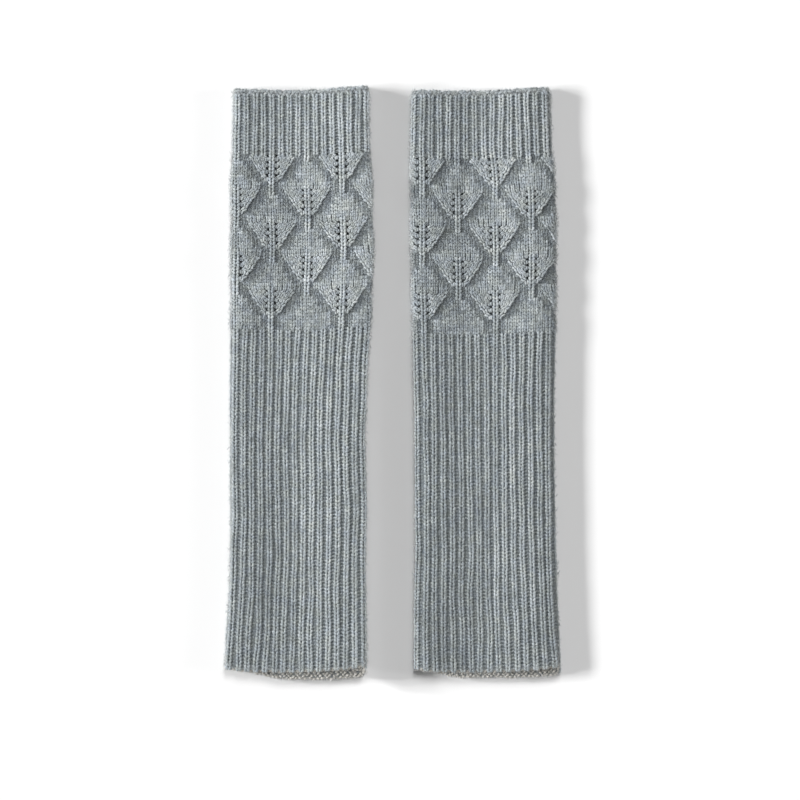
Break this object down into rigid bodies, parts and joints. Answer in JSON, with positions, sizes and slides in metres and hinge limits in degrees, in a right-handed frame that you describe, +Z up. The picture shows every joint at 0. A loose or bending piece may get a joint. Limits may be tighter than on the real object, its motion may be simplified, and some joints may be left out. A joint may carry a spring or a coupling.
{
  "type": "pair of knitted arm warmers",
  "caption": "Pair of fingerless knitted tubes for the forearms, laid flat side by side, each with a ribbed cuff, a band of raised lace leaves and a long ribbed arm.",
  "frame": {"origin": "centre of the pair's outline, on the surface that the two warmers lie on", "axes": "+X across the pair to the viewer's right, +Y along the tubes towards the cuff edges, +Z up from the surface"},
  "size_m": [0.2102, 0.365, 0.0075],
  "materials": {
    "left_cuff_rib_wool": "heathered cool grey wool, one by one rib",
    "left_leaf_band_wool": "heathered cool grey wool, lace leaves on purl ground",
    "left_arm_rib_wool": "heathered cool grey wool, one by one rib",
    "right_cuff_rib_wool": "heathered cool grey wool, one by one rib",
    "right_leaf_band_wool": "heathered cool grey wool, lace leaves on purl ground",
    "right_arm_rib_wool": "heathered cool grey wool, one by one rib"
  },
  "bodies": {
    "root": {"left_cuff_rib": "left_cuff_rib_wool", "left_leaf_band": "left_leaf_band_wool", "left_arm_rib": "left_arm_rib_wool", "right_cuff_rib": "right_cuff_rib_wool", "right_leaf_band": "right_leaf_band_wool", "right_arm_rib": "right_arm_rib_wool"}
  },
  "joints": []
}
